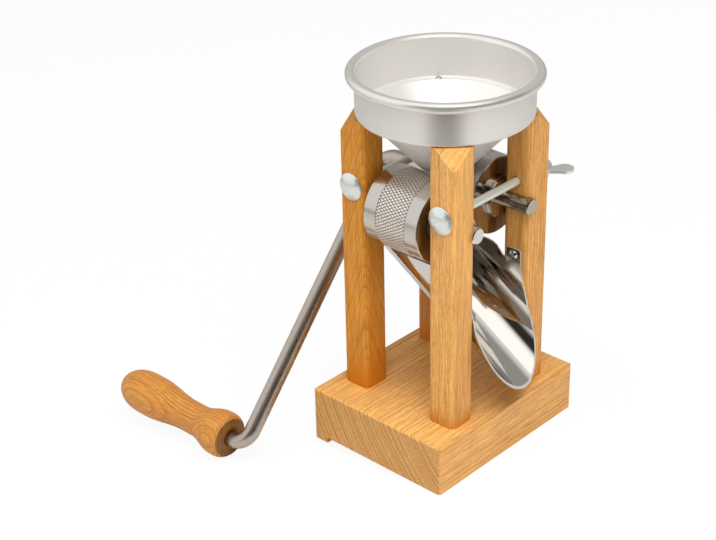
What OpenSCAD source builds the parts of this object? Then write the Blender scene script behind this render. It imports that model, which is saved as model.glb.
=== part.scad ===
// Table-edge grain flaker: two rollers in a four-post beech frame, a funnel above and a chute below.
// The origin is the middle of the base's underside. +X is the way the flakes leave, -X the crank's side.

/* [Base] */
// Width of the base board, across the table edge
base_w = 120; // [112:1:150]
// Length of the base board, along the table edge
base_l = 150; // [140:1:200]
// Thickness of the base board
base_h = 38; // [26:1:50]
// Rounding of the board's edges
base_round = 2; // [0.5:0.5:5]
// Width of the lip that hooks over the table edge
lip_w = 11.5; // [6:0.5:20]
// Height of the lip below the board
lip_h = 5.5; // [3:0.5:12]

/* [Posts] */
// Side of a square post
post_w = 22.6; // [20:0.2:28]
// Distance from the middle to a post's axis, across the table edge
post_x = 40; // [38:0.5:46]
// Distance from the middle to a post's axis, along the table edge
post_y = 40; // [39:0.5:46]
// Rounding of a post's corners
post_round = 4.5; // [1:0.5:7]
// Height of the outer corner, where the bevel starts
bevel_z = 235; // [230:1:242]
// Steepness of the bevel
bevel_angle = 50; // [45:1:60]

/* [Rollers] */
// Height of the roller axes
axle_z = 181.5; // [176:0.5:186]
// Radius of a roller
roller_r = 28.4; // [24:0.2:28.6]
// Gap between the rollers
roller_gap = 0.8; // [0.2:0.1:2]
// Length of a roller
roller_l = 48; // [40:1:50]
// Radius of the turned hub at each end of a roller
hub_r = 15; // [11:0.5:18]
// Height of that hub
hub_h = 2.6; // [1:0.2:3]
// Radius of the bearing washers
washer_r = 13.8; // [10:0.2:16]
// Thickness of the bearing washers
washer_t = 1.6; // [0.8:0.1:1.9]
// Radius of the axles and of the crank bar
axle_r = 6; // [4:0.5:7]
// Distance that an axle stands out of the posts
axle_out = 2.5; // [0:0.5:5]
// Side of the square keys that hold the rollers on their axles
key_w = 4; // [2:0.5:5]
// Length of those keys
key_l = 30; // [15:1:36]

/* [Crank] */
// Distance from the crank arm to the posts' outer face
arm_out = 30.8; // [24:0.2:45]
// Radius at which the handle runs
crank_r = 235.6; // [150:0.1:260]
// Slope of the resting arm below the level
arm_angle = 49.3; // [40:0.1:60]
// Bend radius of the bar, on its middle line
bend_r = 13; // [11:1:18]
// Wood left in the handle past the bar's end
pin_cover = 16; // [10:1:50]

/* [Handle] */
// Length of the turned handle
grip_l = 118.5; // [90:0.5:140]
// Radius of the flared end by the arm
flare_r = 17.3; // [14:0.1:20]
// Radius of the waist
waist_r = 12.1; // [9.5:0.1:14]
// Radius of the bulb
bulb_r = 16.2; // [13:0.1:19]
// Radius of the retaining pin
grip_pin_r = 1.5; // [1:0.25:1.75]

/* [Clamp] */
// Height of the two clamp bolts
clamp_z = 197; // [195:0.5:202]
// Radius of the bolt's rod
bolt_r = 2.95; // [2.5:0.05:3.2]
// Radius of the bolt's domed head
bolt_head_r = 10; // [7:0.5:11]
// Height of the domed head
bolt_head_h = 4; // [3:0.5:6]
// Distance that the rod stands out past the nut's hub
rod_out = 3; // [1:0.5:5]
// Radius of the washer below a wing nut
nut_washer_r = 9; // [8.5:0.5:12]
// Thickness of that washer
nut_washer_t = 1.6; // [1:0.1:3]
// Height of a wing nut's hub
nut_h = 8; // [6:0.5:12]
// Span of a wing nut's two wings
wing_span = 39; // [30:1:44]
// Thickness of a wing
wing_t = 2.6; // [1.5:0.1:4]

/* [Hopper] */
// Outer radius of the funnel's wall
hopper_r = 61; // [58:0.5:64]
// Height of the underside of the funnel's ledge
ledge_z = 246.8; // [243:0.2:250]
// Height of the funnel's rim
rim_z = 279.1; // [272:0.1:300]
// Thickness of the funnel's sheet
hopper_t = 1.5; // [0.8:0.1:2.5]
// Radius of the edge that is rolled outwards along the rim
roll_r = 3.7; // [2.5:0.1:5]
// Inner radius of the ledge
ledge_r = 54.2; // [50:0.2:56]
// Radius of the throat at the bottom
throat_r = 10; // [7:0.5:12]
// Height of the throat's lower edge
throat_z = 200; // [198:0.5:204]
// Gap between the throat and the rollers
throat_gap = 1; // [0.5:0.1:2]

/* [Chute] */
// Slope of the chute
chute_angle = 32; // [28:0.5:36]
// Height of the chute's axis above the middle of the base
chute_z = 139.2; // [136:0.2:142]
// Thickness of the chute's sheet
chute_t = 1.2; // [0.8:0.1:2]
// Distance from the middle to the tip of the scoop
chute_tip_x = 74.4; // [66:0.2:90]
// Steepness of the scoop's cut
scoop_angle = 64.4; // [58:0.2:70]
// Height of the chute's upper edge
chute_top_z = 145.3; // [140:0.1:148]

/* [Screws] */
// Radius of a chute screw's head
pan_r = 3.6; // [2.5:0.1:4]
// Radius of a small screw's shank
small_r = 1.5; // [1:0.1:2]
// Length of a small screw's shank
small_l = 14; // [8:1:20]
// Radius of a post screw's shank
long_r = 2.5; // [1.5:0.1:3]
// Length of a post screw
long_l = 75; // [55:1:90]

/* [Hidden] */
$fn = 64;
eps = 0.01;
fit = 0.05;         // running fit of an axle in its seat
slide_fit = 0.15;   // clearance of a screw in a drilled hole
seat_gap = 0.1;     // gap between the funnel's cone and the posts
rod_play = 0.55;    // clearance of a clamp bolt in a post

post_in = post_y - post_w / 2;      // inner faces of the front and rear posts
post_out = post_y + post_w / 2;     // their outer faces
post_side = post_x + post_w / 2;    // outer faces towards the chute and the crank
axle_y = roller_r + roller_gap / 2;
axle_end = post_side + axle_out;
arm_x = -post_side - arm_out;
pin_y = axle_y - crank_r * cos(arm_angle);
pin_z = axle_z - crank_r * sin(arm_angle);
grip_x = arm_x - bend_r - 1;        // the handle's end by the arm
pin_back = 11;                      // from there to the handle's retaining pin
washer_x = roller_l / 2 + hub_h;
ear_x = post_x - 0.5;               // the chute's screws
ear_z = chute_top_z - 1.35 * pan_r;
pin_l = grip_l - pin_cover;         // length of the bar inside the handle
nut_y = post_out + nut_washer_t;
scoop_z = chute_z - (chute_tip_x * sin(chute_angle) + post_in) / cos(chute_angle);
throat_k = (ledge_r - throat_r) / (ledge_z - throat_z);
cone_w = hopper_t * sqrt(1 + throat_k * throat_k);  // the cone's sheet, measured level
corner_r = hopper_t + 1;            // bend between the funnel's ledge and wall
flat_in = ledge_r + throat_k * hopper_t - cone_w;   // the ledge's flat, inside
flat_out = hopper_r - corner_r;
screw_at = (flat_in + flat_out) / 2 / sqrt(2);      // the funnel's screws, across and along
ledge_pan_r = (flat_out - flat_in) / 2 - fit;       // their heads

// A rectangle centred on the origin, with round corners.
module round_rect(w, l, r) {
    square([w - 2 * r, l], center = true);
    square([w, l - 2 * r], center = true);
    for (sx = [-1, 1], sy = [-1, 1])
        translate([sx * (w / 2 - r), sy * (l / 2 - r)]) circle(r);
}

// A cylinder along X from x0 to x1.
module rod_x(x0, x1, r) {
    translate([x0, 0, 0]) rotate([0, 90, 0]) cylinder(r = r, h = x1 - x0);
}

// A cylinder along Y from y0 to y1.
module rod_y(y0, y1, r) {
    translate([0, y0, 0]) rotate([-90, 0, 0]) cylinder(r = r, h = y1 - y0);
}

// Moves its children to each of the four posts' places.
module at_posts(x, y) {
    for (sx = [-1, 1], sy = [-1, 1]) translate([sx * x, sy * y, 0]) children();
}

module base_board() {
    color("burlywood") difference() {
        intersection() {
            translate([0, 0, -lip_h]) linear_extrude(base_h + lip_h) round_rect(base_w, base_l, base_round);
            translate([0, base_l / 2, (base_h - lip_h) / 2]) rotate([90, 0, 0])
                linear_extrude(base_l) round_rect(base_w, base_h + lip_h, base_round);
            translate([-base_w / 2, 0, (base_h - lip_h) / 2]) rotate([90, 0, 90])
                linear_extrude(base_w) round_rect(base_l, base_h + lip_h, base_round);
        }
        translate([-base_w / 2 + lip_w, -base_l, -lip_h - 1]) cube([base_w, 2 * base_l, lip_h + 1]);
        at_posts(post_x, post_y) {
            translate([0, 0, -1]) cylinder(r = long_r + slide_fit, h = base_h + 2);
            translate([0, 0, -eps]) cylinder(r1 = 2 * long_r + 0.8, r2 = long_r, h = long_r + 0.8);
        }
    }
}

// The space that the funnel's cone takes, with the seat's gap round it.
module cone_room() {
    rotate_extrude($fn = 128)
        polygon([[0, throat_z], [throat_r + seat_gap, throat_z], [ledge_r + seat_gap, ledge_z],
                 [ledge_r + seat_gap, ledge_z + 1], [0, ledge_z + 1]]);
}

module post(sx, sy) {
    bevel_run = (post_side + post_out - 2 * post_round) / sqrt(2) + post_round;
    color("peru") difference() {
        translate([sx * post_x, sy * post_y, base_h])
            linear_extrude(ledge_z - base_h) round_rect(post_w, post_w, post_round);
        cone_room();
        rotate([0, 0, atan2(sy * post_y, sx * post_x)]) translate([bevel_run, 0, bevel_z])
            rotate([0, bevel_angle - 90, 0]) translate([0, -2 * post_w, -post_w]) cube(4 * post_w);
        translate([0, sy * axle_y, axle_z]) rod_x(-post_side - 1, post_side + 1, axle_r + fit);
        translate([sx * post_x, 0, clamp_z]) rod_y(-post_out - 1, post_out + 1, bolt_r + rod_play);
        if (sy < 0) translate([sx * post_x, -post_out + 2, clamp_z])
            cube([2 * bolt_r + 1.3, 5, 2 * bolt_r + 1.3], center = true);
        translate([sx * post_x, sy * post_y, base_h - 1])
            cylinder(r = long_r + fit, h = long_l - base_h + 2);
        translate([sx * screw_at, sy * screw_at, ledge_z - small_l])
            cylinder(r = small_r + fit, h = 2 * small_l);
        if (sx > 0) translate([ear_x, sy * (post_in + small_l / 2), ear_z])
            rod_y(-small_l / 2 - 1, small_l / 2 + 1, small_r + fit);
    }
}

module front_left_post() { post(-1, -1); }
module front_right_post() { post(1, -1); }
module rear_left_post() { post(-1, 1); }
module rear_right_post() { post(1, 1); }

// Countersunk screws driven up through the board into the posts' end grain.
module post_screws() {
    color("silver") at_posts(post_x, post_y) translate([0, 0, 0.2]) {
        cylinder(r1 = 2 * long_r, r2 = long_r, h = long_r);
        cylinder(r = long_r, h = long_l);
    }
}

// Part of a ring in the plane, from angle a0 to angle a1.
module ring_part(r_in, r_out, a0, a1) {
    far = 4 * r_out;
    mid = (a0 + a1) / 2;
    intersection() {
        difference() {
            circle(r_out);
            circle(r_in);
        }
        polygon([[0, 0], [far * cos(a0), far * sin(a0)], [far * cos(mid), far * sin(mid)],
                 [far * cos(a1), far * sin(a1)]]);
    }
}

// Half of the funnel's section: cone and ledge, bend, wall, outward bend and the rolled edge.
module hopper_section() {
    roll_x = hopper_r - hopper_t + roll_r;   // the middle of the rolled edge
    roll_z = rim_z - roll_r;
    polygon([[throat_r, throat_z], [ledge_r, ledge_z], [hopper_r - corner_r, ledge_z],
             [hopper_r - corner_r, ledge_z + hopper_t],
             [ledge_r + throat_k * hopper_t - cone_w, ledge_z + hopper_t], [throat_r - cone_w, throat_z]]);
    translate([hopper_r - corner_r, ledge_z + corner_r])
        ring_part(corner_r - hopper_t, corner_r, -90, 0);
    translate([hopper_r - hopper_t, ledge_z + corner_r]) square([hopper_t, roll_z - ledge_z - corner_r]);
    translate([roll_x, roll_z]) ring_part(roll_r - hopper_t, roll_r, 0, 180);
    translate([roll_x, roll_z]) ring_part(roll_r - hopper_t, roll_r, -110, 0);
}

module hopper() {
    color("gainsboro") difference() {
        rotate_extrude($fn = 128) hopper_section();
        for (sy = [-1, 1]) translate([0, sy * axle_y, axle_z])
            rod_x(-post_out, post_out, roller_r + throat_gap);
        at_posts(screw_at, screw_at) translate([0, 0, ledge_z - 1]) cylinder(r = small_r + slide_fit, h = 6);
    }
}

// A small screw along Z with a domed head and a cross recess.
module pan_screw(head_r) {
    head_h = 0.61 * head_r;
    sphere_r = (head_r * head_r + head_h * head_h) / (2 * head_h);
    difference() {
        intersection() {
            translate([0, 0, head_h - sphere_r]) sphere(sphere_r);
            cylinder(r = head_r, h = head_h);
        }
        for (a = [0, 90]) rotate([0, 0, a]) translate([0, 0, head_h])
            cube([head_r, head_r * 0.22, 0.7 * head_h], center = true);
    }
    translate([0, 0, -small_l]) cylinder(r = small_r, h = small_l + eps);
}

module hopper_screws() {
    color("silver") at_posts(screw_at, screw_at) translate([0, 0, ledge_z + hopper_t])
        pan_screw(ledge_pan_r);
}

// Points of an arc, from angle a0 to a1.
function arc(cx, cz, r, a0, a1, n) =
    [for (i = [0 : n]) let (a = a0 + (a1 - a0) * i / n) [cx + r * cos(a), cz + r * sin(a)]];

// The chute seen from the side: what is left of the sloping trough.
module chute_outline() {
    ear_w = 0.265 * post_w;
    bend = 0.09 * post_w;
    knee_z = chute_top_z - 1.44 * post_in;
    knee_x = chute_tip_x - (knee_z - scoop_z) / tan(scoop_angle);
    ear_r = ear_x + ear_w;
    polygon(concat(
        [[-post_side + 1, chute_top_z], [-post_side + 1, scoop_z]],
        [[chute_tip_x, scoop_z], [knee_x, knee_z], [ear_r, ear_z - 1.5 * ear_w]],
        arc(ear_r - bend, chute_top_z - bend, bend, 0, 90, 4),
        arc(ear_x - ear_w + bend, chute_top_z - bend, bend, 90, 180, 4),
        arc(ear_x - ear_w - bend, ear_z - bend, bend, 0, -150, 6),
        arc(ear_x - ear_w - 8.5 * bend, chute_top_z - 7 * bend, 7 * bend, 50, 90, 5)
    ));
}

module chute() {
    trough_r = post_in;
    reach = 4 * chute_tip_x;
    color("silver") difference() {
        intersection() {
            translate([0, 0, chute_z]) rotate([0, chute_angle, 0]) rotate([90, 0, 90])
                translate([0, 0, -reach / 2]) linear_extrude(reach) {
                    difference() {
                        union() {
                            circle(trough_r, $fn = 128);
                            translate([-trough_r, 0]) square([2 * trough_r, reach]);
                        }
                        circle(trough_r - chute_t, $fn = 128);
                        translate([-trough_r + chute_t, 0])
                            square([2 * (trough_r - chute_t), reach + 1]);
                    }
                }
            translate([0, post_out, 0]) rotate([90, 0, 0]) linear_extrude(2 * post_out) chute_outline();
        }
        translate([ear_x, 0, ear_z]) rod_y(-post_in - 1, post_in + 1, small_r + slide_fit);
    }
}

module chute_screws() {
    color("silver") for (sy = [-1, 1])
        translate([ear_x, sy * (post_in - chute_t), ear_z]) rotate([sy * 90, 0, 0]) pan_screw(pan_r);
}

// A roller on the X axis, with a turned hub at each end, a bore and a keyway.
module roller() {
    edge = 0.6;
    half = roller_l / 2;
    difference() {
        union() {
            rod_x(-half + edge, half - edge, roller_r);
            for (s = [0, 180]) rotate([0, 0, s]) {
                translate([half - edge - eps, 0, 0]) rotate([0, 90, 0])
                    cylinder(r1 = roller_r, r2 = roller_r - edge, h = edge + eps);
                rod_x(0, half + hub_h, hub_r);
            }
        }
        rod_x(-half - hub_h - 1, half + hub_h + 1, axle_r + fit);
        keyway();
    }
}

// Breaks the sharp edge of a bar's end at x.
module bar_end(x) {
    edge = 0.8;
    out = x > 0 ? 0 : 180;
    difference() {
        children();
        rotate([0, 0, out]) translate([abs(x) - edge, 0, 0]) rotate([0, 90, 0]) difference() {
            cylinder(r = axle_r + 2, h = edge + 1);
            translate([0, 0, -1]) cylinder(r1 = axle_r + 1, r2 = axle_r - edge - 1, h = edge + 2);
        }
    }
}

module quarter_bend() {
    rotate_extrude(angle = 90) translate([bend_r, 0]) circle(axle_r);
}

module keyway() {
    translate([0, 0, axle_r]) cube([key_l, key_w, key_w] + fit * [2, 2, 2], center = true);
}

module key() {
    translate([0, 0, axle_r]) cube([key_l, key_w, key_w], center = true);
}

module washers() {
    for (s = [0, 180]) rotate([0, 0, s]) difference() {
        rod_x(washer_x, washer_x + washer_t, washer_r);
        rod_x(washer_x - 1, washer_x + washer_t + 1, axle_r + fit);
    }
}

module front_roller() { color("silver") translate([0, -axle_y, axle_z]) roller(); }

module front_axle() {
    color("silver") translate([0, -axle_y, axle_z]) difference() {
        bar_end(axle_end) bar_end(-axle_end) rod_x(-axle_end, axle_end, axle_r);
        keyway();
    }
}

module front_key() { color("gray") translate([0, -axle_y, axle_z]) key(); }
module front_washers() { color("silver") translate([0, -axle_y, axle_z]) washers(); }
module rear_roller() { color("silver") translate([0, axle_y, axle_z]) roller(); }
module rear_key() { color("gray") translate([0, axle_y, axle_z]) key(); }
module rear_washers() { color("silver") translate([0, axle_y, axle_z]) washers(); }

// One steel bar: the rear roller's axle, the arm and the pin that the handle turns on.
module crank_bar() {
    groove_x = grip_x - pin_back;
    color("darkgray") translate([0, axle_y, axle_z]) difference() {
        rotate([arm_angle - 90, 0, 0]) {
            bar_end(axle_end) rod_x(arm_x + bend_r, axle_end, axle_r);
            translate([arm_x + bend_r, 0, -bend_r]) rotate([90, 0, 0]) rotate([0, 0, 90]) quarter_bend();
            translate([arm_x, 0, bend_r - crank_r]) cylinder(r = axle_r, h = crank_r - 2 * bend_r);
            translate([arm_x - bend_r, 0, bend_r - crank_r]) rotate([90, 0, 0]) rotate([0, 0, -90])
                quarter_bend();
            translate([0, 0, -crank_r]) difference() {
                rod_x(grip_x - pin_l, arm_x - bend_r, axle_r);
                difference() {
                    rod_x(groove_x - grip_pin_r - 0.1, groove_x + grip_pin_r + 0.1, axle_r + 1);
                    rod_x(groove_x - 5, groove_x + 5, axle_r - grip_pin_r - 0.1);
                }
            }
        }
        keyway();
    }
}

// The handle's radius at a share of its length, 0 by the arm and 1 at the far end.
function blend(a, b, t) = a + (b - a) * (1 - cos(180 * t)) / 2;
function grip_radius(s) =
    s < 0.07 ? flare_r * (0.56 + 0.44 * sqrt(1 - pow(1 - s / 0.07, 2))) :
    s < 0.1 ? flare_r :
    s < 0.29 ? blend(flare_r, waist_r, (s - 0.1) / 0.19) :
    s < 0.39 ? waist_r :
    s < 0.72 ? blend(waist_r, bulb_r, (s - 0.39) / 0.33) :
    s < 0.78 ? bulb_r :
    bulb_r * sqrt(max(0, 1 - pow((s - 0.78) / 0.22, 2.3)));

module crank_handle() {
    steps = 60;
    mouth = 2;
    outline = [for (i = [0 : steps]) let (s = i / steps) [grip_radius(s), s * grip_l]];
    color("peru") translate([grip_x, pin_y, pin_z]) difference() {
        rotate([0, -90, 0]) rotate_extrude($fn = 96) polygon(concat([[0, 0]], outline));
        rod_x(-pin_l - 2, 1, axle_r + fit);
        translate([eps, 0, 0]) rotate([0, -90, 0]) cylinder(r1 = axle_r + mouth, r2 = axle_r, h = mouth);
        translate([-pin_back, axle_r, -flare_r - 6]) cylinder(r = grip_pin_r + fit, h = 2 * flare_r);
    }
}

module handle_pin() {
    color("silver") translate([grip_x - pin_back, pin_y + axle_r, pin_z - flare_r + 2.5])
        cylinder(r = grip_pin_r, h = flare_r + 5);
}

// A carriage bolt along Y: a domed head, a square neck in the wood and a long rod.
module clamp_bolt() {
    sphere_r = (bolt_head_r * bolt_head_r + bolt_head_h * bolt_head_h) / (2 * bolt_head_h);
    neck = 2 * bolt_r + 1;
    color("gainsboro") {
        intersection() {
            translate([0, -post_out - bolt_head_h + sphere_r, 0]) sphere(sphere_r, $fn = 128);
            rod_y(-post_out - bolt_head_h, -post_out, bolt_head_r);
        }
        translate([0, -post_out + 2, 0]) cube([neck, 4 + eps, neck], center = true);
        rod_y(-post_out, nut_y + nut_h + rod_out, bolt_r);
    }
}

module left_clamp_bolt() { translate([-post_x, 0, clamp_z]) clamp_bolt(); }
module right_clamp_bolt() { translate([post_x, 0, clamp_z]) clamp_bolt(); }

module nut_washer() {
    color("gainsboro") difference() {
        rod_y(post_out, nut_y, nut_washer_r);
        rod_y(post_out - 1, nut_y + 1, bolt_r + 3 * fit);
    }
}

module left_nut_washer() { translate([-post_x, 0, clamp_z]) nut_washer(); }
module right_nut_washer() { translate([post_x, 0, clamp_z]) nut_washer(); }

// A wing nut on the Y axis: a tapered hub and two round ears that lean away from the post.
module wing_nut() {
    ear_r = 0.16 * wing_span;
    ear_at = wing_span / 2 - ear_r;
    ear_up = nut_h + 0.73 * ear_r;
    hub = 2.7 * bolt_r;
    color("gainsboro") translate([0, nut_y, 0]) difference() {
        union() {
            rotate([-90, 0, 0]) cylinder(r1 = hub, r2 = 0.78 * hub, h = nut_h);
            for (s = [-1, 1]) translate([0, 0, -wing_t / 2]) linear_extrude(wing_t) {
                translate([s * ear_at, ear_up]) circle(ear_r);
                polygon([[s * hub / 2, 0.6], [s * 0.93 * hub, 0.6],
                         [s * (ear_at + ear_r * 0.75), ear_up - ear_r * 0.66],
                         [s * (ear_at - ear_r * 0.7), ear_up + ear_r * 0.7], [s * hub / 2, nut_h - 0.5]]);
            }
        }
        rod_y(-1, nut_h + 8, bolt_r + fit);
    }
}

module left_wing_nut() { translate([-post_x, 0, clamp_z]) wing_nut(); }
module right_wing_nut() { translate([post_x, 0, clamp_z]) wing_nut(); }

base_board();
front_left_post();
front_right_post();
rear_left_post();
rear_right_post();
post_screws();
hopper();
hopper_screws();
chute();
chute_screws();
front_roller();
front_axle();
front_key();
front_washers();
rear_roller();
crank_bar();
rear_key();
rear_washers();
crank_handle();
handle_pin();
left_clamp_bolt();
right_clamp_bolt();
left_nut_washer();
right_nut_washer();
left_wing_nut();
right_wing_nut();
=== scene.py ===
import math
import random
import bmesh
import bpy
from mathutils import Matrix, Vector


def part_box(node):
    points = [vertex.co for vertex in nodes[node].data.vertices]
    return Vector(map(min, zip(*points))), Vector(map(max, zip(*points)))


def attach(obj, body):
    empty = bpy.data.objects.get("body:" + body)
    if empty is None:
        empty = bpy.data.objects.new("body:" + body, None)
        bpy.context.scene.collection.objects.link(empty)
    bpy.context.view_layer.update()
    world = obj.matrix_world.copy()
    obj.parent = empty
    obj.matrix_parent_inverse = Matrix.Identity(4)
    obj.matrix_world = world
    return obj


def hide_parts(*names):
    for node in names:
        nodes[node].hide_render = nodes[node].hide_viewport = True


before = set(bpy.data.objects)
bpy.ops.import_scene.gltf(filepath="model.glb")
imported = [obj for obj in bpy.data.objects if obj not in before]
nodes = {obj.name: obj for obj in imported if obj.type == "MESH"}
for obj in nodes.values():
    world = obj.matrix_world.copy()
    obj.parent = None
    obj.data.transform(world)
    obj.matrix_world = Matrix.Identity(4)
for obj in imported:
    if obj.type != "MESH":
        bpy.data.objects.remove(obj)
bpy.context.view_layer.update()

scene = bpy.context.scene
mm = 0.001


def linear(hexColour):
    values = []
    for i in (1, 3, 5):
        c = int(hexColour[i:i + 2], 16) / 255
        values.append(c / 12.92 if c <= 0.04045 else ((c + 0.055) / 1.055) ** 2.4)
    return (*values, 1)


def direction(azimuth, elevation):
    # degrees; azimuth runs from the front towards the chute's side
    a, e = math.radians(azimuth), math.radians(elevation)
    return Vector((math.sin(a) * math.cos(e), -math.cos(a) * math.cos(e), math.sin(e)))


def addNode(tree, kind, sockets=None, stops=None, **settings):
    # each socket takes a value, or the output of another node
    node = tree.nodes.new("ShaderNode" + kind)
    for key, value in settings.items():
        setattr(node, key, value)
    for key, value in (sockets or {}).items():
        if isinstance(value, bpy.types.NodeSocket):
            tree.links.new(value, node.inputs[key])
        else:
            node.inputs[key].default_value = value
    if stops:
        ramp = node.color_ramp
        while len(ramp.elements) < len(stops):
            ramp.elements.new(0.5)
        for element, (place, value) in zip(ramp.elements, stops):
            element.position = place
            element.color = (value, value, value, 1)
    return node


def maths(tree, operation, *terms, **settings):
    return addNode(tree, "Math", dict(enumerate(terms)), operation=operation, **settings).outputs[0]


def vectorMaths(tree, operation, *terms):
    node = addNode(tree, "VectorMath", dict(enumerate(terms)), operation=operation)
    return node.outputs["Value" if operation in ("LENGTH", "DOT_PRODUCT") else "Vector"]


def scaled(tree, vector, scale):
    return addNode(tree, "VectorMath", {0: vector, "Scale": scale}, operation="SCALE").outputs[0]


def flatten(tree, vector):
    return vectorMaths(tree, "MULTIPLY", vector, (1, 1, 0))


def stretched(tree, spot, sizes, shift=(0, 0, 0)):
    # spot counted in pattern sizes, and moved along to another part of the pattern
    return vectorMaths(tree, "MULTIPLY_ADD", spot, [1 / size for size in sizes], shift)


def ranged(tree, source, first, last, low, high):
    limits = {"From Min": first, "From Max": last, "To Min": low, "To Max": high}
    return addNode(tree, "MapRange", {"Value": source, **limits}).outputs[0]


def softStep(tree, source, first, last):
    return addNode(tree, "MapRange", {"Value": source, "From Min": first, "From Max": last},
                   interpolation_type="SMOOTHSTEP").outputs[0]


def blend(tree, share, first, second):
    mixed = addNode(tree, "Mix", {"Factor": share, "A": first, "B": second}, data_type="RGBA")
    return mixed.outputs["Result"]


def noise(tree, vector, detail, roughness=0.5, scale=1.0):
    return addNode(tree, "TexNoise", {"Vector": vector, "Scale": scale, "Detail": detail,
                                      "Roughness": roughness}).outputs


def newMaterial(name, base="#FFFFFF", **sockets):
    material = bpy.data.materials.new(name)
    material.use_nodes = True
    tree = material.node_tree
    shader = tree.nodes["Principled BSDF"]
    shader.inputs["Base Color"].default_value = linear(base)
    for key, value in sockets.items():
        shader.inputs[key.replace("_", " ")].default_value = value
    return material, tree, shader


print("camera")
camera = {
    "place": (0.65867, -0.77825, 0.67936),
    "azimuth": 43.671,
    "elevation": 28.48,
    "roll": 1.353,
    "lens": 82.508,
}
back = direction(camera["azimuth"], camera["elevation"])
right = Vector((math.cos(math.radians(camera["azimuth"])), math.sin(math.radians(camera["azimuth"])), 0))
up = back.cross(right)
roll = math.radians(camera["roll"])
turned = (math.cos(roll) * right - math.sin(roll) * up, math.sin(roll) * right + math.cos(roll) * up, back)
lensData = bpy.data.cameras.new("camera")
lensData.lens = camera["lens"]
lensData.clip_start = 0.05
lensData.clip_end = 30
cameraObject = bpy.data.objects.new("camera", lensData)
scene.collection.objects.link(cameraObject)
cameraObject.matrix_world = Matrix.Translation(camera["place"]) @ Matrix(turned).transposed().to_4x4()
scene.camera = cameraObject
scene.view_settings.view_transform = "Standard"

print("studio")
studio = {
    "worldLight": 0.45,
    "worldColour": "#F6F6F8",
    "aim": (0, 0, 0.14),         # the point that the lamps face
    "lamps": {
        "overhead": {"azimuth": 58, "elevation": 66, "distance": 1.7, "size": 1.2, "power": 32.5},
        "window": {"azimuth": -40, "elevation": 48, "distance": 1.7, "size": 1.0, "power": 7},
    },
    # what shiny metal sees besides the white: a grey wall behind, the dim room below the lamp, and the
    # lamp's own soft box; later zones cover earlier ones
    "room": {
        "grey wall": {"azimuth": 195, "half": 70, "bottom": -20, "top": 75, "soft": 18, "level": 0.46,
                      "colour": "#F3EEE6"},
        "dim room": {"azimuth": 72, "half": 72, "bottom": -30, "top": 45, "soft": 5, "level": 0.05,
                     "colour": "#E8D8C8"},
        "soft box": {"azimuth": 58, "half": 42, "bottom": 50, "top": 80, "soft": 6, "level": 1.6,
                     "colour": "#FFFCF6"},
    },
}


def sector(tree, level, zone):
    # 1 inside the zone's azimuths and 0 outside, with soft sides
    facing = vectorMaths(tree, "DOT_PRODUCT", level, direction(zone["azimuth"], 0))
    half, soft = math.radians(zone["half"]), math.radians(zone["soft"])
    return softStep(tree, facing, math.cos(half + soft), math.cos(half - soft))


def mixShader(tree, share, first, second):
    return addNode(tree, "MixShader", {0: share, 1: first, 2: second}).outputs[0]


world = bpy.data.worlds.new("studio")
scene.world = world
world.use_nodes = True
tree = world.node_tree
tree.nodes.clear()
path = addNode(tree, "LightPath").outputs
glossy = maths(tree, "MAXIMUM", path["Is Glossy Ray"], path["Is Transmission Ray"])
look = addNode(tree, "TexCoord").outputs["Generated"]
height = addNode(tree, "SeparateXYZ", {0: look}).outputs["Z"]
level = vectorMaths(tree, "NORMALIZE", flatten(tree, look))
tone = addNode(tree, "RGB").outputs[0]
tone.default_value = (1, 1, 1, 1)
for zone in studio["room"].values():
    bottom, top, soft = (math.radians(zone[key]) for key in ("bottom", "top", "soft"))
    above = softStep(tree, height, math.sin(bottom - soft), math.sin(bottom + soft))
    below = softStep(tree, height, math.sin(top + soft), math.sin(top - soft))
    inside = maths(tree, "MULTIPLY", maths(tree, "MULTIPLY", sector(tree, level, zone), above), below)
    shade = [zone["level"] * value for value in linear(zone["colour"])[:3]]
    tone = blend(tree, inside, tone, (*shade, 1))
worldColour = linear(studio["worldColour"])
lit = addNode(tree, "Background", {"Color": worldColour, "Strength": studio["worldLight"]})
mirrored = addNode(tree, "Background", {"Color": tone})
white = addNode(tree, "Background", {"Color": (1, 1, 1, 1), "Strength": 1.0})
mixed = mixShader(tree, glossy, lit.outputs[0], mirrored.outputs[0])
mixed = mixShader(tree, path["Is Camera Ray"], mixed, white.outputs[0])
addNode(tree, "OutputWorld", {"Surface": mixed})

for name, lamp in studio["lamps"].items():
    data = bpy.data.lights.new(name, "AREA")
    data.shape = "SQUARE"
    data.size = lamp["size"]
    data.energy = lamp["power"]
    item = bpy.data.objects.new(name, data)
    item.visible_glossy = False
    scene.collection.objects.link(item)
    middle = Vector(studio["aim"])
    item.location = middle + lamp["distance"] * direction(lamp["azimuth"], lamp["elevation"])
    item.rotation_euler = (middle - item.location).to_track_quat("-Z", "Y").to_euler()

print("floor")
ground = {
    "half": 6,
    "tilt": 4.95,           # degrees: the handle's flare and the board's right edge both touch the floor
    "edge": (0.06, 0, 0),   # a point of the board's right bottom edge
    "paper": "#F2F2F2",
    "mirroredPaper": "#D9D7D3",
    "glow": 0.93,           # share of the paper's brightness that the eye sees and that casts no light
    # a dark stand on the floor by the camera, which only reflections show; near and fade in metres
    "stand": {"azimuth": 41.5, "half": 17, "soft": 10, "near": 0.22, "fade": 0.1, "level": 0.17,
              "colour": "#E8D8C8"},
}
half = ground["half"]
floorMesh = bpy.data.meshes.new("floor")
floorMesh.from_pydata([(-half, -half, 0), (half, -half, 0), (half, half, 0), (-half, half, 0)], [],
                      [(0, 1, 2, 3)])
floor = bpy.data.objects.new("floor", floorMesh)
scene.collection.objects.link(floor)
floor.location = ground["edge"]
floor.rotation_euler = (0, -math.radians(ground["tilt"]), 0)
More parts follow.
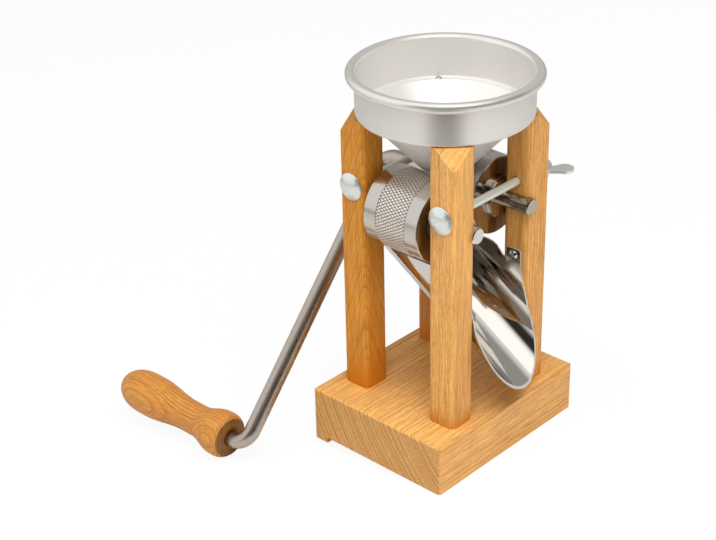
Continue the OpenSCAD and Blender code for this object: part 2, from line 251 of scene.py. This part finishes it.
paper = bpy.data.materials.new("whiteBackgroundPaper")   # seamless paper: reads white, keeps a faint shadow
paper.use_nodes = True
tree = paper.node_tree
tree.nodes.clear()
path = addNode(tree, "LightPath").outputs
away = flatten(tree, addNode(tree, "NewGeometry").outputs["Position"])
stand = ground["stand"]
far = softStep(tree, vectorMaths(tree, "LENGTH", away), stand["near"], stand["near"] + stand["fade"])
wide = sector(tree, vectorMaths(tree, "NORMALIZE", away), stand)
inside = maths(tree, "MULTIPLY", maths(tree, "MULTIPLY", wide, far), path["Is Glossy Ray"])
tint = blend(tree, path["Is Glossy Ray"], linear(ground["paper"]), linear(ground["mirroredPaper"]))
matt = addNode(tree, "BsdfDiffuse", {"Color": tint})
dark = addNode(tree, "Emission", {"Color": linear(stand["colour"]), "Strength": stand["level"]})
glow = addNode(tree, "Emission", {"Color": (1, 1, 1, 1), "Strength": 1.0})
share = maths(tree, "MULTIPLY", path["Is Camera Ray"], ground["glow"])
mixed = mixShader(tree, inside, matt.outputs[0], dark.outputs[0])
mixed = mixShader(tree, share, mixed, glow.outputs[0])
addNode(tree, "OutputMaterial", {"Surface": mixed})
floorMesh.materials.append(paper)

print("wood")
fibreOrder = {"X": "YZX", "Y": "XZY", "Z": "XYZ"}   # the coordinates across and along the fibres
# sizes of the figure in millimetres, twice across the fibres and once along them; a ray is a sheet that
# stands radially: thin across, 4 mm along
figure = {
    "wander": (34, 34, 150),
    "fibres": (0.55, 0.55, 16),
    "strands": (1.3, 1.3, 40),
    "streaks": (9, 9, 110),
    "rays": (1.4, 0.34, 4),
    "unevenness": 1.6,         # how far a ring strays, in ring gaps
    "pace": 0.31,              # how fast that changes from ring to ring
    "strandShare": 0.45,
    "shade": (0.6, 1.3),       # the darkest and the brightest fibres
    "streakShare": 0.45,
}
oil = {
    "rayColour": "#8F5218", "rayShare": 0.24, "rayDepth": -0.6,
    # the feet: deeper and more orange towards the foot, in patches
    "footColour": "#CB760A", "footShare": 0.75, "footContrast": 1.7,
    "endRings": 1.7,           # end grain drinks more oil: its rings stand out this much more
    "ringEnds": (0.75, 0.97),  # how squarely a face cuts the fibres, where that starts and is full
    "shadeEnds": (0.55, 0.95),
    "gloss": (0.36, 0.52), "bump": 0.35, "relief": 0.12,
}


def beech(name, node, grain, heart, ringGap, pale, late, streak, seed, lean=(0, 0), lateShare=0.7,
          flow=5.0, endShade=0.84, deeperFoot=None):
    # Oiled beech, planed and sanded: growth rings round a heart off the piece, short brown ray dashes
    # and a silky surface. heart is in millimetres across the fibres, lean moves it along the piece, flow is
    # how far the rings wander, and the last argument is where the deeper, more orange foot starts to fade.
    material, tree, shader = newMaterial(name, Roughness=0.42, Specular_IOR_Level=0.25)
    order = fibreOrder[grain]
    low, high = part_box(node)
    middle = [(low["XYZ".index(k)] + high["XYZ".index(k)]) / 2 / mm for k in order]
    bearing = math.atan2(middle[1] - heart[1], middle[0] - heart[0])
    place = addNode(tree, "TexCoord").outputs
    split = addNode(tree, "SeparateXYZ", {0: place["Object"]}).outputs
    joined = addNode(tree, "CombineXYZ", {i: split[order[i]] for i in range(3)}).outputs[0]
    spot = scaled(tree, joined, 1 / mm)
    along = addNode(tree, "SeparateXYZ", {0: spot}).outputs["Z"]
    facing = addNode(tree, "SeparateXYZ", {0: place["Normal"]}).outputs[order[2]]
    endGrain = maths(tree, "ABSOLUTE", facing)

    # growth rings, uneven in width and in strength
    wander = noise(tree, stretched(tree, spot, figure["wander"], (seed, seed * 1.7, 0)), 2.0)["Color"]
    fromHeart = (-flow / 2 - heart[0], -flow / 2 - heart[1], 0)
    sway = vectorMaths(tree, "MULTIPLY_ADD", wander, (flow, flow, 0), fromHeart)
    moved = vectorMaths(tree, "ADD", vectorMaths(tree, "ADD", spot, sway), scaled(tree, (*lean, 0), along))
    turns = maths(tree, "DIVIDE", vectorMaths(tree, "LENGTH", flatten(tree, moved)), ringGap)
    slow = maths(tree, "MULTIPLY_ADD", turns, figure["pace"], seed)
    uneven = addNode(tree, "TexNoise", {"W": slow, "Scale": 1.0, "Detail": 1.0}, noise_dimensions="1D")
    turns = maths(tree, "MULTIPLY_ADD", uneven.outputs[0], figure["unevenness"], turns)
    profile = addNode(tree, "ValToRGB", {0: maths(tree, "FRACT", turns)},
                      stops=[(0.0, 0.05), (0.4, 0.12), (0.74, 0.5), (0.9, 1.0), (0.97, 0.75), (1.0, 0.05)])
    ringTone = addNode(tree, "TexWhiteNoise", {"W": maths(tree, "FLOOR", turns)}, noise_dimensions="1D")
    strength = ranged(tree, ringTone.outputs["Value"], 0, 1, 0.35 * lateShare, lateShare)
    dark = maths(tree, "MULTIPLY", profile.outputs[0], strength)
    stronger = ranged(tree, endGrain, *oil["ringEnds"], 1.0, oil["endRings"])
    dark = maths(tree, "MULTIPLY", dark, stronger, use_clamp=True)

    # fine fibres, strands, broad soft streaks and rays
    fibres = noise(tree, stretched(tree, spot, figure["fibres"]), 3.0, 0.6)[0]
    strands = noise(tree, stretched(tree, spot, figure["strands"], (0, seed, 0)), 2.0)[0]
    streaks = noise(tree, stretched(tree, spot, figure["streaks"], (seed, 0, seed)), 2.0)[0]
    radial = addNode(tree, "VectorRotate", {"Vector": spot, "Angle": -bearing}, rotation_type="Z_AXIS")
    dashes = noise(tree, stretched(tree, radial.outputs[0], figure["rays"], (0, seed * 3, 0)), 0.0)[0]
    ray = addNode(tree, "ValToRGB", {0: dashes}, stops=[(0.57, 0.0), (0.70, 1.0)]).outputs[0]

    colour = blend(tree, dark, linear(pale), linear(late))
    warmth = ranged(tree, streaks, 0.3, 0.7, 0.0, figure["streakShare"])
    colour = blend(tree, warmth, colour, linear(streak))
    weave = maths(tree, "MULTIPLY_ADD", strands, figure["strandShare"], fibres)
    colour = scaled(tree, colour, ranged(tree, weave, 0.45, 1.0, *figure["shade"]))
    colour = blend(tree, maths(tree, "MULTIPLY", ray, oil["rayShare"]), colour, linear(oil["rayColour"]))
    # deeper and more orange towards the foot, in patches that follow the streaks
    if deeperFoot:
        footTint = maths(tree, "MULTIPLY", ranged(tree, along, *deeperFoot, oil["footShare"], 0.0), streaks)
        footTint = maths(tree, "MULTIPLY", footTint, oil["footContrast"], use_clamp=True)
        colour = blend(tree, footTint, colour, linear(oil["footColour"]))
    colour = scaled(tree, colour, ranged(tree, endGrain, *oil["shadeEnds"], 1.0, endShade))
    tree.links.new(colour, shader.inputs["Base Color"])
    tree.links.new(ranged(tree, fibres, 0, 1, *oil["gloss"]), shader.inputs["Roughness"])
    relief = maths(tree, "MULTIPLY_ADD", ray, oil["rayDepth"], fibres)
    depth = oil["relief"] * mm
    bump = addNode(tree, "Bump", {"Height": relief, "Strength": oil["bump"], "Distance": depth})
    tree.links.new(bump.outputs[0], shader.inputs["Normal"])
    return material


boards = {
    "base_board": {
        "grain": "Y", "heart": (165, 120), "ringGap": 3.6, "seed": 1.3, "lateShare": 0.72,
        "pale": "#EAB46B", "late": "#9A5E26", "streak": "#DA9540"},
    "crank_handle": {
        "grain": "X", "heart": (-66, -3), "ringGap": 1.9, "seed": 7.7, "lateShare": 1.0, "flow": 4.0,
        "pale": "#D6964A", "late": "#7C3E0C", "streak": "#BA7328", "endShade": 0.36},
    "front_left_post": {
        "grain": "Z", "heart": (-104, 24), "ringGap": 2.4, "seed": 3.1, "lateShare": 0.6, "flow": 3.5,
        "pale": "#DA922F", "late": "#8E4C0C", "streak": "#C3761A", "lean": (-0.16, 0.16),
        "deeperFoot": (38, 70)},
    "front_right_post": {
        "grain": "Z", "heart": (-110, -30), "ringGap": 3.0, "seed": 5.2, "lateShare": 0.7,
        "pale": "#E7AE63", "late": "#B27430", "streak": "#D99644", "lean": (0, 0.02), "deeperFoot": (38, 50)},
    "rear_left_post": {
        "grain": "Z", "heart": (-140, 10), "ringGap": 3.2, "seed": 2.4,
        "pale": "#D58E3B", "late": "#A86321", "streak": "#C47629", "deeperFoot": (38, 60)},
    "rear_right_post": {
        "grain": "Z", "heart": (30, 160), "ringGap": 2.4, "seed": 9.6, "lateShare": 0.85,
        "pale": "#E4AB60", "late": "#A96926", "streak": "#D08A38", "deeperFoot": (38, 55)},
}
finishes = {}
for node, values in boards.items():
    words = "".join(word.capitalize() for word in node.split("_"))
    finishes[node] = beech("oiledBeech" + words, node, **values)

print("metal")
sheen = {
    "cloudScale": 45.0, "bump": 0.3,
    "journalFade": 2, "journalGloss": 0.4,   # fade and band in millimetres
    "dullBand": 0.2, "dullShine": 0.34,
}


def metal(name, base, roughness, spread=0.05, grit=0.4, anisotropic=0.0, around=None, relief=0.02,
          metallic=1.0, journal=None, dullWithin=None):
    # roughness wanders by spread; grit is the spacing of the fine tool marks and relief their depth, both in
    # millimetres; around is the axis that a lathe or a spinning tool left them on; past x = journal, in
    # millimetres, the bar is polished to run in the posts; dullWithin is the radius round the Z axis inside
    # which the metal is left duller
    material, tree, shader = newMaterial(name, base, Metallic=metallic, Roughness=roughness,
                                         Anisotropic=anisotropic)
    place = addNode(tree, "TexCoord").outputs["Object"]
    marks = noise(tree, scaled(tree, place, 1 / (grit * mm)), 3.0, 0.6)[0]
    cloud = noise(tree, place, 2.0, scale=sheen["cloudScale"])[0]
    both = maths(tree, "MULTIPLY_ADD", marks, 0.5, cloud)
    gloss = ranged(tree, both, 0.35, 1.15, max(0.01, roughness - spread), roughness + spread)
    if journal is not None:
        x = addNode(tree, "SeparateXYZ", {0: place}).outputs["X"]
        start = (journal - sheen["journalFade"]) * mm
        worn = ranged(tree, x, start, journal * mm, 1.0, sheen["journalGloss"])
        gloss = maths(tree, "MULTIPLY", gloss, worn)
    tree.links.new(gloss, shader.inputs["Roughness"])
    bump = addNode(tree, "Bump", {"Height": marks, "Strength": sheen["bump"], "Distance": relief * mm})
    tree.links.new(bump.outputs[0], shader.inputs["Normal"])
    if dullWithin:
        away = vectorMaths(tree, "LENGTH", flatten(tree, place))
        inner, outer = (dullWithin - sheen["dullBand"]) * mm, (dullWithin + sheen["dullBand"]) * mm
        shine = ranged(tree, away, inner, outer, sheen["dullShine"], metallic)
        tree.links.new(shine, shader.inputs["Metallic"])
    if around:
        tangent = addNode(tree, "Tangent", direction_type="RADIAL", axis=around)
        tree.links.new(tangent.outputs[0], shader.inputs["Tangent"])
    return material


finishes.update({
    # spun aluminium, satin: pale, soft reflections drawn round the axis
    "aluminium": metal("spunAluminium", "#DEDBD6", 0.30, spread=0.02, grit=0.5, anisotropic=0.3, around="Z",
                       metallic=0.74, relief=0.006, dullWithin=60.3),
    # stainless sheet, mirror polished: crisp reflections with a slight waviness
    "mirror": metal("mirrorStainless", "#D2CFCB", 0.06, spread=0.03, grit=25, relief=0.06),
    # cold-drawn bar: greyish brown, brushed, soft reflections
    "drawn": metal("drawnSteelBar", "#BBB0A5", 0.34, spread=0.05, grit=0.5, relief=0.007, journal=-53),
    # ground axle: brighter and smoother than the drawn bar
    "ground": metal("groundSteelAxle", "#E0DBD5", 0.2, spread=0.05, grit=0.5),
    # faced on the lathe and polished: near a mirror, with faint rings
    "faced": metal("facedRollerSteel", "#BBB4AC", 0.09, spread=0.03, grit=0.4, around="X", anisotropic=0.3),
    # turned bands: reflections smeared round the roller
    "turned": metal("turnedRollerSteel", "#CBC6BF", 0.20, grit=0.3, anisotropic=0.5, around="X"),
    # pressed knurl: the tops get a paler, brighter steel as a painted highlight, the flanks a rougher,
    # darker steel as painted shade in the grooves
    "knurled": metal("knurlTopsPaintedBright", "#F0E9E0", 0.30, spread=0.1, grit=0.3, metallic=0.72),
    "flank": metal("dullKnurlFlanksPaintedShade", "#B3A99E", 0.42, spread=0.1, grit=0.3, metallic=0.8),
    # bright zinc: pale, faintly green, softly mottled
    "zinc": metal("brightZinc", "#DFE4DE", 0.30, spread=0.14, grit=3.2, metallic=0.8, relief=0.05),
    # the same zinc gone dull: greenish grey, little shine
    "dullZinc": metal("dullZinc", "#E3E7DC", 0.34, spread=0.1, grit=1.6, metallic=0.55),
    # the sheet's cut edge, deburred by hand: a bright line
    "cutEdge": metal("deburredEdge", "#D3D1CD", 0.45, grit=0.4, metallic=0.5),
    # small screws: nickel plated, small bright glints
    "nickel": metal("nickelScrew", "#D8D6D0", 0.14, spread=0.04, grit=0.8),
    # keys and the handle's pin: plain grey steel
    "plain": metal("plainSteelKey", "#8F8B86", 0.4, spread=0.08, grit=0.6),
})
carried = {
    "aluminium": ["hopper"],
    "mirror": ["chute"],
    "drawn": ["crank_bar"],
    "ground": ["front_axle"],
    "faced": ["front_washers", "rear_washers", "front_roller", "rear_roller"],
    "zinc": ["left_clamp_bolt", "right_clamp_bolt", "left_nut_washer", "right_nut_washer", "left_wing_nut",
             "right_wing_nut", "post_screws"],
    "nickel": ["hopper_screws", "chute_screws"],
    "plain": ["front_key", "rear_key", "handle_pin"],
}
carried.update({board: [board] for board in boards})
for finish, names in carried.items():
    for name in names:
        for part in nodes[name].material_slots:
            part.material = finishes[finish]

cutEdge = {"slope": 32, "sideways": 0.02, "upright": 0.97}   # the chute's own slope, in degrees
slope = math.radians(cutEdge["slope"])
upright = Vector((math.sin(slope), 0, math.cos(slope)))
sheet = nodes["chute"].data
sheet.materials.append(finishes["cutEdge"])
for face in sheet.polygons:
    if abs(face.normal.y) < cutEdge["sideways"] and abs(face.normal.dot(upright)) < cutEdge["upright"]:
        face.material_index = len(sheet.materials) - 1


def addPiece(name, shape, finish, body, replaced=None, sharpAngle=32):
    mesh = bpy.data.meshes.new(name)
    shape.to_mesh(mesh)
    shape.free()
    for key in finish:
        mesh.materials.append(finishes[key])
    for face in mesh.polygons:
        face.use_smooth = True
    mesh.set_sharp_from_angle(angle=math.radians(sharpAngle))
    piece = bpy.data.objects.new(name, mesh)
    scene.collection.objects.link(piece)
    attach(piece, body)
    if replaced:
        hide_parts(replaced)
    return piece


def lathe(shape, profile, segments, closed=False):
    # turns (along, radius) points round the X axis
    rows = []
    for i in range(segments):
        angle = 2 * math.pi * i / segments
        rows.append([shape.verts.new((x, q * math.cos(angle), q * math.sin(angle))) for x, q in profile])
    steps = len(profile) if closed else len(profile) - 1
    for i in range(segments):
        first, second = rows[i], rows[(i + 1) % segments]
        for k in range(steps):
            j = (k + 1) % len(profile)
            shape.faces.new((first[k], first[j], second[j], second[k]))
    bmesh.ops.remove_doubles(shape, verts=shape.verts, dist=0.001)


def setDown(shape, place, axis="X"):
    # from millimetres about the X axis to metres about another axis through place
    turn = Matrix.Rotation(math.radians(90), 4, "Z") if axis == "Y" else Matrix()
    shape.transform(Matrix.Translation(Vector(place) * mm) @ Matrix.Scale(mm, 4) @ turn)
    bmesh.ops.recalc_face_normals(shape, faces=shape.faces)


print("rollers")
roller = {
    "half": 24.0, "radius": 28.4, "edge": 0.6, "hubRadius": 15.0, "hubEnd": 26.6, "hubEdge": 0.4,
    "bore": 6.05, "knurlHalf": 12.5, "relief": 0.7, "reliefWidth": 0.35, "reliefEdge": 0.15,
    "segments": 160,
}
knurl = {"round": 72, "axialPitch": 4.1, "depth": 0.45, "top": 0.66, "unevenness": 0.012}


def rollerShape():
    shape = bmesh.new()
    k, q = roller, roller["radius"]
    bandStart = k["knurlHalf"] + k["reliefWidth"]
    half = [
        (bandStart, q - k["relief"]), (bandStart, q - k["reliefEdge"]), (bandStart + k["reliefEdge"], q),
        (k["half"] - k["edge"], q), (k["half"], q - k["edge"]), (k["half"], k["hubRadius"]),
        (k["hubEnd"] - k["hubEdge"], k["hubRadius"]), (k["hubEnd"], k["hubRadius"] - k["hubEdge"]),
        (k["hubEnd"], k["bore"]),
    ]
    lathe(shape, [(-x, q) for x, q in reversed(half)] + half, k["segments"], closed=True)
    return shape


def knurlShape(seed):
    # a flat field of diamonds with cut tops, trimmed at the band's ends, then wrapped round the roller
    shape = bmesh.new()
    chance = random.Random(seed)
    long, wide = knurl["axialPitch"] / 2, math.pi * roller["radius"] / knurl["round"]
    corners = [(long, 0), (0, wide), (-long, 0), (0, -wide)]
    columns = math.ceil(roller["knurlHalf"] / long) + 1
    for i in range(-columns, columns + 1):
        for j in range(2 * knurl["round"]):
            if (i + j) % 2:
                continue
            x, y = i * long, j * wide
            foot = [shape.verts.new((x + dx, y + dy, -knurl["depth"])) for dx, dy in corners]
            top = [shape.verts.new((x + dx * knurl["top"], y + dy * knurl["top"],
                                    chance.uniform(-knurl["unevenness"], 0))) for dx, dy in corners]
            # the tops take the paler steel (painted highlight), the flanks the darker one (painted shade in
            # the grooves)
            shape.faces.new(top)
            for m in range(4):
                n = (m + 1) % 4
                shape.faces.new((foot[m], foot[n], top[n], top[m])).material_index = 1
    bmesh.ops.remove_doubles(shape, verts=shape.verts, dist=0.001)
    for side in (-1, 1):
        bmesh.ops.bisect_plane(shape, geom=shape.verts[:] + shape.edges[:] + shape.faces[:], dist=0.0001,
                               plane_co=(side * roller["knurlHalf"], 0, 0), plane_no=(side, 0, 0),
                               clear_outer=True)
    rim = [edge for edge in shape.edges if edge.is_boundary
           and all(abs(abs(v.co.x) - roller["knurlHalf"]) < 0.001 for v in edge.verts)]
    walls = bmesh.ops.extrude_edge_only(shape, edges=rim)
    for item in walls["geom"]:
        if isinstance(item, bmesh.types.BMVert):
            item.co.z = -roller["relief"]
    for v in shape.verts:
        angle, q = v.co.y / roller["radius"], roller["radius"] + v.co.z
        v.co.y, v.co.z = q * math.sin(angle), q * math.cos(angle)
    bmesh.ops.remove_doubles(shape, verts=shape.verts, dist=0.002)
    return shape


for seed, (name, body) in enumerate((("front_roller", "idler"), ("rear_roller", "crank"))):
    low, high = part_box(name)
    middle = [(low[i] + high[i]) / 2 / mm for i in range(3)]
    shape = rollerShape()
    for face in shape.faces:   # the bands are turned, the ends are faced
        face.material_index = 0 if abs(face.calc_center_median().x) < roller["half"] - 0.01 else 1
    setDown(shape, middle)
    addPiece(name + "_body", shape, ("turned", "faced"), body, name)
    shape = knurlShape(seed)
    setDown(shape, middle)
    addPiece(name + "_knurl", shape, ("knurled", "flank"), body, sharpAngle=20)

print("clamp bolts")
bolt = {
    "headRadius": 10.0, "headHeight": 4.0, "rim": 0.7, "domeSteps": 14, "segments": 64,
    "rod": 2.95, "root": 2.42, "pitch": 1.0, "thread": 24.0, "threadSteps": 24,
}


def boltShape(length):
    # head's top at 0, rod's end at length; a dome on a thin round rim, a smooth rod and a thread at the end
    shape = bmesh.new()
    q, h, rod, root, pitch = (bolt[key] for key in ("headRadius", "headHeight", "rod", "root", "pitch"))
    domeHeight = h - bolt["rim"]
    ball = (q * q + domeHeight * domeHeight) / (2 * domeHeight)
    reach = math.asin((q - 0.3) / ball)
    angles = [reach * i / bolt["domeSteps"] for i in range(bolt["domeSteps"] + 1)]
    dome = [(ball - ball * math.cos(angle), ball * math.sin(angle)) for angle in angles]
    start = length - bolt["thread"]
    stem = [(h - 0.5, q), (h - 0.15, q - 0.1), (h, q - 0.35), (h, rod), (start, rod), (start + 0.5, root),
            (length - 0.5, root), (length, root - 0.5), (length, 0)]
    lathe(shape, dome + stem, bolt["segments"])
    steps = bolt["threadSteps"]
    section = [(0.0, root), (0.42, rod), (0.58, rod), (1.0, root)]
    rows = []
    for i in range(int((bolt["thread"] - 1.2) / pitch * steps)):
        angle = 2 * math.pi * i / steps
        x = start + 0.2 + pitch * i / steps
        fade = max(0.0, min(1.0, i / steps, (length - 0.5 - x) / pitch))
        rows.append([])
        for share, crest in section:
            q = root + (crest - root) * fade
            rows[-1].append(shape.verts.new((min(x + share * pitch, length - 0.4),
                                             q * math.cos(angle), q * math.sin(angle))))
    for first, second in zip(rows, rows[1:]):
        for k in range(3):
            shape.faces.new((first[k], first[k + 1], second[k + 1], second[k]))
    bmesh.ops.remove_doubles(shape, verts=shape.verts, dist=0.002)
    return shape


for side in ("left", "right"):
    low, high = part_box(side + "_clamp_bolt")
    shape = boltShape((high[1] - low[1]) / mm)
    for face in shape.faces:
        face.material_index = 1 if face.calc_center_median().x > bolt["headHeight"] + 0.1 else 0
    setDown(shape, ((low[0] + high[0]) / 2 / mm, low[1] / mm, (low[2] + high[2]) / 2 / mm), "Y")
    addPiece(side + "_bolt", shape, ("zinc", "dullZinc"), "frame", side + "_clamp_bolt")

print("wing nuts")
casting = {"weld": 0.01, "grain": 0.3, "softening": 0.5, "passes": 5}   # weld and grain in millimetres
for side in ("left", "right"):
    node = side + "_wing_nut"
    cast = nodes[node].copy()   # the same nut with its edges run together, as a casting has them
    cast.data = cast.data.copy()
    cast.name = side + "_cast_nut"
    scene.collection.objects.link(cast)
    weld = cast.modifiers.new("weld", "WELD")
    weld.merge_threshold = casting["weld"] * mm
    skin = cast.modifiers.new("skin", "REMESH")
    skin.mode = "VOXEL"
    skin.voxel_size = casting["grain"] * mm
    skin.use_smooth_shade = True
    soft = cast.modifiers.new("soft", "SMOOTH")
    soft.factor = casting["softening"]
    soft.iterations = casting["passes"]
    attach(cast, side + "_nut")
    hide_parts(node)

print("done")
